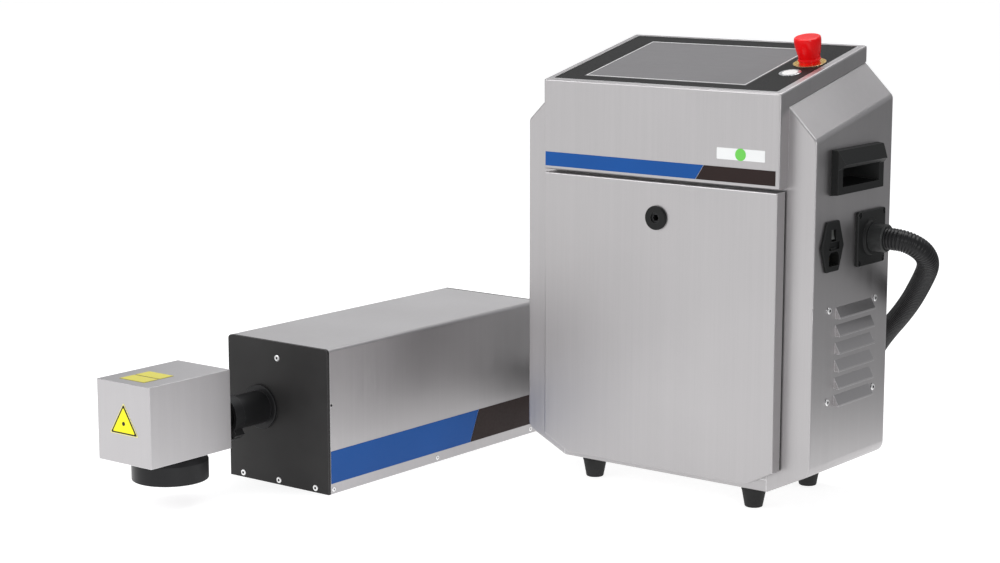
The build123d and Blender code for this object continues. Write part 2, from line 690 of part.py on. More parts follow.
# ================================================================ umbilical outlet
with BuildPart() as hose_flange:
    with BuildSketch(side(BODY_HALF, FLANGE_Y, FLANGE_Z)):
        RectangleRounded(FLANGE_SIDE, FLANGE_SIDE, 3)
    extrude(amount=FLANGE_THICK)
    chamfer(hose_flange.faces().sort_by(Axis.X)[-1].edges(), 0.8)
    with BuildSketch(side(BODY_HALF + FLANGE_THICK, FLANGE_Y, FLANGE_Z)):
        Circle(21)
    extrude(amount=3, taper=20)
    with BuildSketch(side(BODY_HALF, FLANGE_Y, FLANGE_Z)):
        Circle(16.5)
    extrude(amount=-10)
    with BuildSketch(side(BODY_HALF - 20, FLANGE_Y, FLANGE_Z)):
        Circle(11)
    extrude(amount=60, mode=Mode.SUBTRACT)
    with BuildSketch(side(BODY_HALF - 1, FLANGE_Y, FLANGE_Z)):
        with GridLocations(FLANGE_PITCH, FLANGE_PITCH, 2, 2):
            Circle(2.1)
    extrude(amount=12, mode=Mode.SUBTRACT)
    with BuildSketch(side(BODY_HALF + FLANGE_THICK - FLANGE_SINK, FLANGE_Y, FLANGE_Z)):
        with GridLocations(FLANGE_PITCH, FLANGE_PITCH, 2, 2):
            Circle(3.6)
    extrude(amount=6, mode=Mode.SUBTRACT)
write(hose_flange, "hose_flange")

with BuildPart() as hose_cuff:
    with BuildSketch(side(BODY_HALF + FLANGE_THICK + 3, FLANGE_Y, FLANGE_Z)):
        Circle(16.2)
        Circle(11, mode=Mode.SUBTRACT)
    extrude(amount=CUFF_END - BODY_HALF - FLANGE_THICK - 3)
    chamfer(hose_cuff.faces().sort_by(Axis.X)[-1].edges().sort_by(SortBy.RADIUS)[-1], 1.2)
write(hose_cuff, "hose_cuff")

# ================================================================ cooling fan
FAN_X = BODY_HALF - SHEET        # the fan's outer face
ROTOR_R = 55.0
with BuildPart() as fan_frame:
    with BuildSketch(side(FAN_X, FAN_Y, FAN_Z)):
        RectangleRounded(FAN_SIZE, FAN_SIZE, 4)
        Circle(ROTOR_R + 2.5, mode=Mode.SUBTRACT)
        with GridLocations(FAN_PITCH, FAN_PITCH, 2, 2):
            Circle(2.2, mode=Mode.SUBTRACT)
    extrude(amount=-FAN_DEPTH)
    with BuildSketch(side(FAN_X - FAN_DEPTH, FAN_Y, FAN_Z)):
        Circle(21)
        with PolarLocations(ROTOR_R / 2 + 2, 4, start_angle=20):
            Rectangle(ROTOR_R + 4, 4)
    extrude(amount=2.4)
    with BuildSketch(side(FAN_X - FAN_DEPTH + 2.4, FAN_Y, FAN_Z)):
        Circle(3)
    extrude(amount=14)
write(fan_frame, "fan_frame")

with BuildPart(side(FAN_X - FAN_DEPTH + 4, FAN_Y, FAN_Z)) as fan_rotor:
    Cylinder(19, 19, align=(Align.CENTER, Align.CENTER, Align.MIN))
    with PolarLocations(36.5, 7):
        with Locations((0, 0, 9.5)):
            Box(37, 26, 1.6, rotation=(38, 0, 0))
    with BuildSketch(side(FAN_X - FAN_DEPTH, FAN_Y, FAN_Z)):
        Circle(3 + FIT)
    extrude(amount=18.4 + FIT, mode=Mode.SUBTRACT)
write(fan_rotor, "fan_rotor")


# every machine screw of the cabinet that shows: rear panel, fan and umbilical flange
with BuildPart() as cabinet_screws:
    with BuildSketch(front(BODY_BACK + SHEET)):
        with Locations((0, 267)):
            with GridLocations(2 * 173, 196, 2, 3):
                Circle(3.8)
    extrude(amount=-1.8)
    for x, y, z, pitch, head_r, head in (
        (BODY_HALF, FAN_Y, FAN_Z, FAN_PITCH, 4.0, 1.6),
        (BODY_HALF + FLANGE_THICK - FLANGE_SINK, FLANGE_Y, FLANGE_Z, FLANGE_PITCH, 3.4, 2.0),
    ):
        with BuildSketch(side(x, y, z)):
            with GridLocations(pitch, pitch, 2, 2):
                Circle(head_r)
        extrude(amount=head)
        with BuildSketch(side(x, y, z)):
            with GridLocations(pitch, pitch, 2, 2):
                Circle(2)
        extrude(amount=-10)
write(cabinet_screws, "cabinet_screws")

# ================================================================ electronics on their plate
BOARD_Y = 112.0
with BuildPart() as mounting_plate:
    with BuildSketch(front(BOARD_Y + 2)):
        with Locations((0, FLOOR_GAP + SHEET + 184)):
            Rectangle(280, 368)
    extrude(amount=2)
    with BuildSketch(front(BOARD_Y + 2)):
        with Locations((0, FLOOR_GAP + SHEET + 1)):
            Rectangle(260, 2)
    extrude(amount=30)
write(mounting_plate, "mounting_plate")

with BuildPart() as power_supply:
    with BuildSketch(front(BOARD_Y)):
        with Locations((-75, 175)):
            Rectangle(98, 199)
    extrude(amount=42)
    with BuildSketch(front(BOARD_Y - 42)):
        with Locations((-75, 190)):
            with GridLocations(10, 9, 7, 14):
                Circle(2.6)
    extrude(amount=-2, mode=Mode.SUBTRACT)
    with BuildSketch(front(BOARD_Y - 42)):
        with Locations((-75, 86)):
            Rectangle(86, 14)
    extrude(amount=3)
write(power_supply, "power_supply")

with BuildPart() as marking_controller:
    with BuildSketch(front(BOARD_Y)):
        with Locations((55, 150)):
            RectangleRounded(120, 130, 4)
    extrude(amount=36)
    with BuildSketch(front(BOARD_Y - 36)):
        for z in (108, 132, 156, 180):
            with Locations((30, z), (72, z)):
                Rectangle(30, 12)
    extrude(amount=4)
write(marking_controller, "marking_controller")

with BuildPart() as laser_driver:
    with BuildSketch(front(BOARD_Y)):
        with Locations((45, 280)):
            Rectangle(110, 90)
    extrude(amount=12)
    with BuildSketch(front(BOARD_Y - 12)):
        with Locations((45, 280)):
            with GridLocations(12, 1, 9, 1):
                Rectangle(3, 86)
    extrude(amount=24)
write(laser_driver, "laser_driver")

# ================================================================ laser head housing
HEAD_BACK = HEAD_FRONT + HEAD_LENGTH


def head_outline(inset):
    """The housing's section: square below, with rounded top corners."""
    width, height = HEAD_WIDTH - 2 * inset, HEAD_HEIGHT - inset
    with Locations((0, height / 2)):
        Rectangle(width, height)


with BuildPart() as head_cover:
    with BuildSketch(front(HEAD_FRONT + PLATE, HEAD_X)) as outline:
        head_outline(0)
        fillet(outline.vertices().group_by(Axis.Y)[-1], HEAD_CORNER)
    extrude(amount=-(HEAD_LENGTH - 2 * PLATE))
    with BuildSketch(front(HEAD_FRONT + PLATE, HEAD_X)) as outline:
        head_outline(COVER)
        fillet(outline.vertices().group_by(Axis.Y)[-1], HEAD_CORNER - COVER)
    extrude(amount=-(HEAD_LENGTH - 2 * PLATE), mode=Mode.SUBTRACT)
    with BuildSketch(side(HEAD_X - HEAD_WIDTH)):
        with Locations((HEAD_FRONT + 6.4, 107)):
            Circle(1.8)
    extrude(amount=2 * HEAD_WIDTH, mode=Mode.SUBTRACT)
write(head_cover, "head_cover")

SCREW_ROWS = (HEAD_FRONT + 9, HEAD_FRONT + 200.6, HEAD_FRONT + 391.9)
with BuildPart() as head_base:
    with BuildSketch(front(HEAD_FRONT + PLATE, HEAD_X)):
        with Locations((0, BASE_THICK / 2)):
            Rectangle(HEAD_WIDTH - 2 * COVER, BASE_THICK)
    extrude(amount=-(HEAD_LENGTH - 2 * PLATE))
    with BuildSketch(level(0, HEAD_X, HEAD_FRONT + HEAD_LENGTH / 2)):
        with GridLocations(100, 300, 2, 2):
            Circle(3)
    extrude(amount=BASE_THICK, mode=Mode.SUBTRACT)
write(head_base, "head_base")


def end_plate_screws():
    with Locations((0, 154.3), (-59, 5.5), (0, 5.5), (59, 5.5)):
        Circle(3.8)


with BuildPart() as head_front_plate:
    with BuildSketch(front(HEAD_FRONT + PLATE, HEAD_X)) as outline:
        head_outline(0)
        fillet(outline.vertices().group_by(Axis.Y)[-1], HEAD_CORNER)
    extrude(amount=PLATE)
    with BuildSketch(front(HEAD_FRONT + PLATE, BEAM_X, BEAM_Z)):
        Circle(12)
    extrude(amount=PLATE, mode=Mode.SUBTRACT)
    with BuildSketch(front(HEAD_FRONT + 1.5, HEAD_X)):
        end_plate_screws()
    extrude(amount=2, mode=Mode.SUBTRACT)
write(head_front_plate, "head_front_plate")

with BuildPart() as head_rear_plate:
    with BuildSketch(front(HEAD_BACK, HEAD_X)) as outline:
        head_outline(0)
        fillet(outline.vertices().group_by(Axis.Y)[-1], HEAD_CORNER)
    extrude(amount=PLATE)
    with BuildSketch(front(HEAD_BACK, HEAD_X, GLAND_Z)):
        Circle(13)
    extrude(amount=PLATE, mode=Mode.SUBTRACT)
    with BuildSketch(front(HEAD_BACK, HEAD_X)):
        end_plate_screws()
    extrude(amount=2, mode=Mode.SUBTRACT)
write(head_rear_plate, "head_rear_plate")

with BuildPart() as head_screws:
    with BuildSketch(front(HEAD_FRONT + 1.5, HEAD_X)):
        end_plate_screws()
    extrude(amount=1.5)
    with BuildSketch(front(HEAD_BACK, HEAD_X)):
        end_plate_screws()
    extrude(amount=2)
    for sign in (-1, 1):
        with BuildSketch(side(HEAD_X + sign * HEAD_WIDTH / 2)):
            with Locations(*[(y, 5.4) for y in SCREW_ROWS]):
                Circle(2.9)
        extrude(amount=sign * 0.4)
write(head_screws, "head_screws")

with BuildPart() as head_gland:
    with BuildSketch(front(HEAD_BACK, HEAD_X, GLAND_Z)):
        RegularPolygon(20, 6)
        Circle(11, mode=Mode.SUBTRACT)
    extrude(amount=-9)
    with BuildSketch(front(HEAD_BACK + 9, HEAD_X, GLAND_Z)):
        Circle(16.5)
        Circle(11, mode=Mode.SUBTRACT)
    extrude(amount=-(GLAND_END - HEAD_BACK - 9))
    with BuildSketch(front(HEAD_BACK, HEAD_X, GLAND_Z)):
        Circle(12.9)
        Circle(11, mode=Mode.SUBTRACT)
    extrude(amount=PLATE + 4)
write(head_gland, "head_gland")

with BuildPart() as laser_source:
    with BuildSketch(front(HEAD_FRONT + 60, BEAM_X)):
        with Locations((0, 72)):
            Rectangle(60, 96)
    extrude(amount=-290)
    with BuildSketch(front(HEAD_FRONT + 60, BEAM_X)):
        for x in range(-26, 27, 6):
            with Locations((x, 131)):
                Rectangle(2, 24)
        with Locations((0, 17)):
            Rectangle(90, 14)
    extrude(amount=-290)
write(laser_source, "laser_source")

with BuildPart() as beam_expander:
    with BuildSketch(front(HEAD_FRONT + 60, BEAM_X, BEAM_Z)):
        Circle(17)
    extrude(amount=30)
    with BuildSketch(front(HEAD_FRONT + 30, BEAM_X, BEAM_Z)):
        Circle(13)
    extrude(amount=24)
write(beam_expander, "beam_expander")

with BuildPart() as driver_board:
    with BuildSketch(front(HEAD_FRONT + 80, HEAD_X)):
        with Locations((45, 80)):
            Rectangle(1.6, 110)
    extrude(amount=-220)
    with BuildSketch(side(HEAD_X + 45.8, HEAD_FRONT + 190, 80)):
        with GridLocations(50, 45, 4, 2):
            Rectangle(26, 18)
    extrude(amount=9)
    with BuildSketch(level(BASE_THICK, HEAD_X + 45, HEAD_FRONT + 190)):
        with GridLocations(0, 180, 1, 2):
            Rectangle(10, 12)
    extrude(amount=16)
write(driver_board, "driver_board")

# ================================================================ beam tube and scan head
with BuildPart() as beam_tube:
    with BuildSketch(front(HEAD_FRONT, BEAM_X, BEAM_Z)):
        Circle(26.7)
    extrude(amount=3.5)
    with BuildSketch(front(HEAD_FRONT, BEAM_X, BEAM_Z)):
        Circle(TUBE_R)
    extrude(amount=58)
    with BuildSketch(front(HEAD_FRONT, BEAM_X, BEAM_Z)):
        Circle(16)
    extrude(amount=58, mode=Mode.SUBTRACT)
    fillet(beam_tube.edges().filter_by(GeomType.CIRCLE).sort_by(SortBy.RADIUS)[-1], 1)
write(beam_tube, "beam_tube")

CLAMP_TURN = -55.0               # its ears point down and to the right
with BuildPart() as tube_clamp:
    with BuildSketch(front(HEAD_FRONT - 52, BEAM_X, BEAM_Z)):
        Circle(24.5)
        with PolarLocations(24.5, 1, start_angle=CLAMP_TURN):
            Rectangle(12, 15)
        Circle(TUBE_R, mode=Mode.SUBTRACT)
        with PolarLocations(26, 1, start_angle=CLAMP_TURN):
            Rectangle(16, 2.4, mode=Mode.SUBTRACT)
    extrude(amount=14)
write(tube_clamp, "tube_clamp")

SCAN_BACK = HEAD_FRONT - SCAN_GAP
with BuildPart() as scan_neck:
    with BuildSketch(front(HEAD_FRONT - 46, BEAM_X, BEAM_Z)):
        Circle(16)
        Circle(10, mode=Mode.SUBTRACT)
    extrude(amount=SCAN_GAP - 46)
    with BuildSketch(front(HEAD_FRONT - SCAN_GAP + 5, BEAM_X, BEAM_Z)):
        Circle(22)
        Circle(16, mode=Mode.SUBTRACT)
    extrude(amount=5)
write(scan_neck, "scan_neck")

with BuildPart() as scan_housing:
    with BuildSketch(front(SCAN_BACK, SCAN_X, SCAN_Z)):
        with Locations((0, SCAN_SIZE[2] / 2)):
            Rectangle(SCAN_SIZE[0], SCAN_SIZE[2])
    extrude(amount=SCAN_SIZE[1])
    fillet(scan_housing.edges().filter_by(Axis.Z), 1.2)
    fillet(scan_housing.faces().sort_by(Axis.Z)[-1].edges(), 0.8)
    with BuildSketch(front(SCAN_BACK - 3, SCAN_X, SCAN_Z)):
        with Locations((0, SCAN_SIZE[2] / 2 - 3)):
            Rectangle(SCAN_SIZE[0] - 6, SCAN_SIZE[2])
    extrude(amount=SCAN_SIZE[1] - 6, mode=Mode.SUBTRACT)
    with BuildSketch(front(SCAN_BACK + 1, BEAM_X, BEAM_Z)):
        Circle(10)
    extrude(amount=6, mode=Mode.SUBTRACT)
write(scan_housing, "scan_housing")

with BuildPart() as scan_base:
    with BuildSketch(level(SCAN_Z, SCAN_X, SCAN_BACK - SCAN_SIZE[1] / 2)):
        Rectangle(SCAN_SIZE[0] - 6.4, SCAN_SIZE[1] - 6.4)
    extrude(amount=8)
    with BuildSketch(level(SCAN_Z - 1, SCAN_X, LENS_Y)):
        Circle(30)
    extrude(amount=12, mode=Mode.SUBTRACT)
write(scan_base, "scan_base")

SHAFT_R = 2.0
with BuildPart() as galvo_motors:
    with BuildSketch(level(BEAM_Z + 11, BEAM_X, LENS_Y)):
        Circle(11)
        Circle(SHAFT_R + FIT, mode=Mode.SUBTRACT)
    extrude(amount=40)
    with BuildSketch(front(LENS_Y - 11, SCAN_X, BEAM_Z)):
        Circle(11)
        Circle(SHAFT_R + FIT, mode=Mode.SUBTRACT)
    extrude(amount=40)
write(galvo_motors, "galvo_motors")

# The motors' block stands on the scan head's base.
with BuildPart() as galvo_block:
    with BuildSketch(front(LENS_Y - 18, SCAN_X, BEAM_Z)):
        with Locations((0, 2)):
            Rectangle(76, 2 * (BEAM_Z - SCAN_Z - 8) + 4)
        Circle(11, mode=Mode.SUBTRACT)
    extrude(amount=8)
    with BuildSketch(level(BEAM_Z + 18, BEAM_X, LENS_Y)):
        with Locations((2, -2)):
            Rectangle(32, 32)
        Circle(11, mode=Mode.SUBTRACT)
    extrude(amount=7)
write(galvo_block, "galvo_block")

with BuildPart() as mirror_x:
    with BuildSketch(level(BEAM_Z - 6, BEAM_X, LENS_Y)):
        Rectangle(10, 1.6, rotation=45)
    extrude(amount=12)
    with BuildSketch(level(BEAM_Z + 5, BEAM_X, LENS_Y)):
        Circle(SHAFT_R)
    extrude(amount=40)
write(mirror_x, "mirror_x")

with BuildPart() as mirror_y:
    with BuildSketch(front(LENS_Y + 7, SCAN_X, BEAM_Z)):
        Rectangle(14, 1.6, rotation=45)
    extrude(amount=14)
    with BuildSketch(front(LENS_Y - 6, SCAN_X, BEAM_Z)):
        Circle(SHAFT_R)
    extrude(amount=40)
write(mirror_y, "mirror_y")

with BuildPart() as lens_barrel:
    with BuildSketch(level(SCAN_Z - 8, SCAN_X, LENS_Y)):
        Circle(LENS_R)
    with BuildSketch(level(SCAN_Z, SCAN_X, LENS_Y)):
        Circle(LENS_R - 4.5)
    loft()
    with BuildSketch(level(LENS_Z, SCAN_X, LENS_Y)):
        Circle(LENS_R)
    extrude(amount=SCAN_Z - 8 - LENS_Z)
    with BuildSketch(level(LENS_Z, SCAN_X, LENS_Y)):
        Circle(37)
    extrude(amount=16, mode=Mode.SUBTRACT)
    with BuildSketch(level(LENS_Z, SCAN_X, LENS_Y)):
        Circle(30)
    extrude(amount=40, mode=Mode.SUBTRACT)
    fillet(lens_barrel.edges().filter_by(GeomType.CIRCLE).group_by(Axis.Z)[0].sort_by(SortBy.RADIUS)[-1], 1)
write(lens_barrel, "lens_barrel")

LENS_SAG = 6.5
LENS_CURVE = ((37 - FIT) ** 2 + LENS_SAG ** 2) / (2 * LENS_SAG)
LENS_TURN = math.asin((37 - FIT) / LENS_CURVE)
LENS_LOW = LENS_Z + 3.5 + LENS_CURVE * (1 - math.cos(LENS_TURN / 2))
with BuildPart() as lens_glass:
    with BuildSketch(front(LENS_Y, SCAN_X)):
        with BuildLine():
            Line((0, LENS_Z + 16), (37 - FIT, LENS_Z + 16))
            Line((37 - FIT, LENS_Z + 16), (37 - FIT, LENS_Z + 10))
            ThreePointArc((37 - FIT, LENS_Z + 10), (math.sin(LENS_TURN / 2) * LENS_CURVE, LENS_LOW),
                          (0, LENS_Z + 3.5))
            Line((0, LENS_Z + 3.5), (0, LENS_Z + 16))
        make_face()
    revolve(axis=Axis((OX + SCAN_X, OY + LENS_Y, 0), (0, 0, 1)))
write(lens_glass, "lens_glass")

# ================================================================ umbilical
COIL_TOP = 2.5 * HOSE_D          # centre of the coil's third layer
CABINET_RUN = [
    (CUFF_END, FLANGE_Y, FLANGE_Z),
    (232.5, FLANGE_Y, FLANGE_Z),
    (243, 144.5, 308.4),
    (252, 150.4, 303.7),
    (258, 161.0, 295.2),
    (255.6, 178.5, 280.4),
    (236.9, 203.6, 258.9),
    (199.1, 237, 214.3),
    (139.6, 280.5, 162.1),
    (84, 330, 98),
    (COIL_X + COIL_R, COIL_Y - 46, COIL_TOP),
    (COIL_X + COIL_R, COIL_Y, COIL_TOP),
]
HEAD_RUN = [
    (COIL_X, COIL_Y + COIL_R, HOSE_D / 2),
    (-155, COIL_Y + COIL_R - 0.5, HOSE_D / 2),
    (-215, 533, HOSE_D / 2),
    (-272, 510, HOSE_D / 2),
    (-321, 470, HOSE_D / 2),
    (-357, 418, HOSE_D / 2 + 2),
    (-378, 358, 24),
    (HEAD_X, 298, 44),
    (HEAD_X, 252, GLAND_Z),
    (HEAD_X, GLAND_END, GLAND_Z),
]


def bend_radii(route):
    """The largest even bends that the runs leave room for."""
    points = [Vector(*p) for p in route]
    radii = []
    for a, b, c in zip(points, points[1:], points[2:]):
        turn = math.radians((b - a).get_angle(c - b))
        radii.append(0.45 * min((b - a).length, (c - b).length) / math.tan(turn / 2))
    return radii


def hose(route):
    """A closed tube of the hose's outer diameter along straight runs joined by tangent arcs."""
    placed = [(OX + x, OY + y, z) for x, y, z in route]
    radii = bend_radii(placed)
    with BuildPart() as made:
        with BuildLine() as path:
            FilletPolyline(*placed, radius=radii)
        with BuildSketch(Plane(path.line @ 0, z_dir=path.line % 0)):
            Circle(HOSE_D / 2)
        sweep()
    length = path.wires()[0].length
    share = made.part.volume / (math.pi * HOSE_D ** 2 / 4 * length)
    print("hose radii", [round(r) for r in radii], "length", round(length), "volume share", round(share, 3))
    return made


hose_cabinet_run = hose(CABINET_RUN)
write(hose_cabinet_run, "hose_cabinet_run")
hose_head_run = hose(HEAD_RUN)
write(hose_head_run, "hose_head_run")

# The wound length: two layers of turns, and a quarter turn on top where the hose comes in.
with BuildPart() as hose_coil:
    with BuildSketch(level(0, COIL_X, COIL_Y)):
        Circle(COIL_R + HOSE_D / 2)
        Circle(COIL_R - HOSE_D / 2, mode=Mode.SUBTRACT)
    extrude(amount=2 * HOSE_D)
    with BuildSketch(front(COIL_Y, COIL_X + COIL_R, COIL_TOP)):
        Rectangle(HOSE_D, HOSE_D)
    revolve(axis=Axis((OX + COIL_X, OY + COIL_Y, 0), (0, 0, 1)), revolution_arc=130)
write(hose_coil, "hose_coil")
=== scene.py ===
import math

import bmesh
import bpy
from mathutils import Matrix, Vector


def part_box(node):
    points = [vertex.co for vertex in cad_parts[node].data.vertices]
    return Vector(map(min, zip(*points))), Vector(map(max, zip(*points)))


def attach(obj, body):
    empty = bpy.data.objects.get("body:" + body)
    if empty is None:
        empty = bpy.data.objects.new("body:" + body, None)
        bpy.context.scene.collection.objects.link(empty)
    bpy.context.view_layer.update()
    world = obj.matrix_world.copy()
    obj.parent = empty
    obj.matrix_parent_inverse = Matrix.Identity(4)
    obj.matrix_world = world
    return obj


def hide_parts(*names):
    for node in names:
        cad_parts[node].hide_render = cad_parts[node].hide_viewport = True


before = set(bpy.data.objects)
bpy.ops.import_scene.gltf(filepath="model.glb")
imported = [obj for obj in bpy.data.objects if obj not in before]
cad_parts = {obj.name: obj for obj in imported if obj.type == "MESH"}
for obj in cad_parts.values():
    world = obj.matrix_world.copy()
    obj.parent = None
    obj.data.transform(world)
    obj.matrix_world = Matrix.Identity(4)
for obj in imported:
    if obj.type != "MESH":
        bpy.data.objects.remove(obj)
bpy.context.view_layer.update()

# ------------------------------------------------------------------ places, read from the frame
hood_lo, hood_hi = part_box("hood_cover")
cabinet_x = (hood_lo.x + hood_hi.x) / 2
plate_lo, plate_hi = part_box("head_front_plate")
head_x = (plate_lo.x + plate_hi.x) / 2
cuff_lo, cuff_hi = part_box("hose_cuff")
HOSE_EXIT = Vector((cuff_hi.x, (cuff_lo.y + cuff_hi.y) / 2, (cuff_lo.z + cuff_hi.z) / 2))
# the cabinet's own origin: the middle of its width, and the front plane of its hood
ORIGIN = Vector((cabinet_x, hood_lo.y, 0))
SLOPE = math.atan(0.2275)
HOOD_TOP_Z = 0.4815


def at(x, y, z):
    """A point given in millimetres from the middle of the cabinet's front, on the floor."""
    return ORIGIN + Vector((x, y, z)) / 1000


def on_panel(u, v, w=0.0):
    """A point on the sloping panel: millimetres across, up the slope, and out of it."""
    c, s = math.cos(SLOPE), math.sin(SLOPE)
    return at(u, v * c - w * s, 1000 * HOOD_TOP_Z + v * s + w * c)


# ------------------------------------------------------------------ camera, light and floor
CAMERA_AT = at(1443.3, -2141.6, 704.3)
CAMERA_PITCH = 9.86
CAMERA_YAW = 37.96
CAMERA_LENS = 81.7
WORLD_COLOUR = (0.93, 0.94, 0.96, 1)
WORLD_STRENGTH = 0.43
# each light's name, place, what it faces, its width and height, in metres, and its watts
LIGHTS = (
    ("key", (-1.6, -2.6, 2.0), (0, 0, 0.2), (2.2, 1.6), 45),
    ("edge", (2.9, -1.9, 0.9), (0, 0, 0.25), (0.4, 1.6), 20),
    ("top", (0.05, 0.85, 2.75), (0, 0, 0.3), (2.8, 1.6), 52),
    ("back", (-2.6, 3.4, 1.2), (-0.3, -0.1, 0.2), (2.4, 0.9), 6),
)
FLOOR_SIZE = 60
FLOOR_GLOW = 0.82
# the floor's glow fades out along this direction, between these two distances in metres
FADE_DIRECTION = (0.90, 0.43, 0)
FADE_START = 0.56
FADE_END = 0.8


def make_camera():
    data = bpy.data.cameras.new("camera")
    data.lens = CAMERA_LENS
    data.sensor_width = 36
    camera = bpy.data.objects.new("camera", data)
    camera.location = CAMERA_AT
    camera.rotation_euler = (math.radians(90 - CAMERA_PITCH), 0, math.radians(CAMERA_YAW))
    bpy.context.scene.collection.objects.link(camera)
    bpy.context.scene.camera = camera


def area_light(name, place, target, size, power):
    data = bpy.data.lights.new(name, "AREA")
    data.shape = "RECTANGLE"
    data.size, data.size_y = size
    data.energy = power
    light = bpy.data.objects.new(name, data)
    light.location = place
    light.rotation_euler = (Vector(target) - Vector(place)).to_track_quat("-Z", "Y").to_euler()
    bpy.context.scene.collection.objects.link(light)


def make_studio():
    world = bpy.data.worlds.new("studio")
    bpy.context.scene.world = world
    world.use_nodes = True
    background = world.node_tree.nodes["Background"]
    background.inputs["Color"].default_value = WORLD_COLOUR
    background.inputs["Strength"].default_value = WORLD_STRENGTH
    for light in LIGHTS:
        area_light(*light)
    bpy.context.scene.view_settings.view_transform = "Standard"
    bpy.ops.mesh.primitive_plane_add(size=FLOOR_SIZE, location=(0, 0, 0))
    floor = bpy.context.object
    floor.name = "floor"
    floor.data.materials.append(plain_floor())


# ------------------------------------------------------------------ materials
class Nodes:
    """A material's node tree with one Principled shader, built up by short calls."""

    def __init__(self, name, rough, metal=0.0, **uniform):
        self.material = bpy.data.materials.new(name)
        self.material.use_nodes = True
        self.tree = self.material.node_tree
        self.shader = self.tree.nodes["Principled BSDF"]
        self.shader.inputs["Metallic"].default_value = metal
        self.shader.inputs["Roughness"].default_value = rough
        for key, value in uniform.items():
            self.shader.inputs[key.replace("_", " ")].default_value = value
        self.coord = self.tree.nodes.new("ShaderNodeTexCoord")

    def node(self, kind, **inputs):
        made = self.tree.nodes.new(kind)
        for key, value in inputs.items():
            self.put(made.inputs[key.replace("_", " ")], value)
        return made

    def put(self, socket, value):
        if isinstance(value, bpy.types.NodeSocket):
            self.tree.links.new(value, socket)
        else:
            socket.default_value = value

    def noise(self, scale, stretch=(1, 1, 1), detail=3.0, distortion=0.0):
        mapping = self.node("ShaderNodeMapping", Vector=self.coord.outputs["Object"], Scale=stretch)
        made = self.node("ShaderNodeTexNoise", Vector=mapping.outputs[0], Scale=scale, Detail=detail,
                         Distortion=distortion)
        return made.outputs["Fac"]

    def span(self, value, low, high, from_low=0.3, from_high=0.7):
        made = self.node("ShaderNodeMapRange", Value=value)
        made.inputs["From Min"].default_value = from_low
        made.inputs["From Max"].default_value = from_high
        made.inputs["To Min"].default_value = low
        made.inputs["To Max"].default_value = high
        return made.outputs[0]

    def maths(self, operation, a, b):
        made = self.tree.nodes.new("ShaderNodeMath")
        made.operation = operation
        self.put(made.inputs[0], a)
        self.put(made.inputs[1], b)
        return made.outputs[0]

    def mix(self, factor, a, b):
        made = self.tree.nodes.new("ShaderNodeMix")
        made.data_type = "RGBA"
        self.put(made.inputs[0], factor)
        self.put(made.inputs[6], a)
        self.put(made.inputs[7], b)
        return made.outputs[2]

    def edges(self, radius):
        """About 1 on sharp edges, where highlights are painted, and 0 on open faces."""
        bevel = self.tree.nodes.new("ShaderNodeBevel")
        bevel.samples = 6
        bevel.inputs["Radius"].default_value = radius
        normal = self.tree.nodes.new("ShaderNodeNewGeometry")
        dot = self.tree.nodes.new("ShaderNodeVectorMath")
        dot.operation = "DOT_PRODUCT"
        self.tree.links.new(bevel.outputs[0], dot.inputs[0])
        self.tree.links.new(normal.outputs["Normal"], dot.inputs[1])
        return self.span(dot.outputs["Value"], 1.0, 0.0, 0.75, 0.985)

    def bump(self, height, strength, distance):
        made = self.node("ShaderNodeBump", Height=height, Strength=strength, Distance=distance)
        self.tree.links.new(made.outputs[0], self.shader.inputs["Normal"])

    def colour(self, value):
        self.put(self.shader.inputs["Base Color"], value)

    def roughness(self, value):
        self.put(self.shader.inputs["Roughness"], value)


def rgba(color, factor=1.0):
    return (color[0] * factor, color[1] * factor, color[2] * factor, 1)


def plain_floor():
    """A white floor that glows, and goes dim past the right of the cabinet like a dark card there."""
    m = Nodes("floor", 0.8, Emission_Color=(1, 1, 1, 1), Specular_IOR_Level=0.1)
    across = m.node("ShaderNodeVectorMath")
    across.operation = "DOT_PRODUCT"
    m.tree.links.new(m.coord.outputs["Object"], across.inputs[0])
    across.inputs[1].default_value = FADE_DIRECTION
    glow = m.span(across.outputs["Value"], FLOOR_GLOW, 0.0, FADE_START, FADE_END)
    m.put(m.shader.inputs["Emission Strength"], glow)
    m.colour(m.mix(m.noise(2.0), (0.42, 0.42, 0.42, 1), (0.44, 0.44, 0.44, 1)))
    return m.material


def brushed(name, color, rough=0.36, grain=(900, 900, 9), strength=0.07):
    """Brushed metal: fine grain, long where its scale is small, clouds in its gloss, and painted highlights
    on its edges.
    """
    m = Nodes(name, rough, metal=1.0)
    fine = m.noise(1.0, grain, detail=6)
    streak = m.noise(1.0, tuple(g / 6 for g in grain), detail=2)
    cloud = m.noise(7.0, detail=2)
    tone = m.mix(m.span(fine, 0, 1), rgba(color, 0.965), rgba(color, 1.025))
    tone = m.mix(m.span(streak, 0, 0.3, 0.45, 0.75), tone, rgba(color, 1.07))
    # the edges are painted near white: a painted highlight
    m.colour(m.mix(m.maths("MULTIPLY", m.edges(0.0012), 0.9), tone, (0.97, 0.97, 0.98, 1)))
    m.roughness(m.maths("ADD", m.span(fine, rough - 0.05, rough + 0.07), m.span(cloud, -0.02, 0.05)))
    m.bump(fine, strength, 0.00006)
    return m.material


def anodised(name, color, rough=0.42, edge_highlight_colour=(0.2, 0.2, 0.21)):
    m = Nodes(name, rough, metal=0.35, Specular_IOR_Level=0.3)
    grit = m.noise(2600, detail=2)
    cloud = m.noise(11, detail=3)
    tone = m.mix(m.span(cloud, 0, 1), rgba(color, 0.8), rgba(color, 1.25))
    # the edges are painted paler grey: a painted highlight
    m.colour(m.mix(m.maths("MULTIPLY", m.edges(0.0007), 0.5), tone, rgba(edge_highlight_colour)))
    m.roughness(m.maths("ADD", m.span(grit, rough - 0.04, rough + 0.06), m.span(cloud, -0.04, 0.05)))
    m.bump(grit, 0.25, 0.00004)
    return m.material


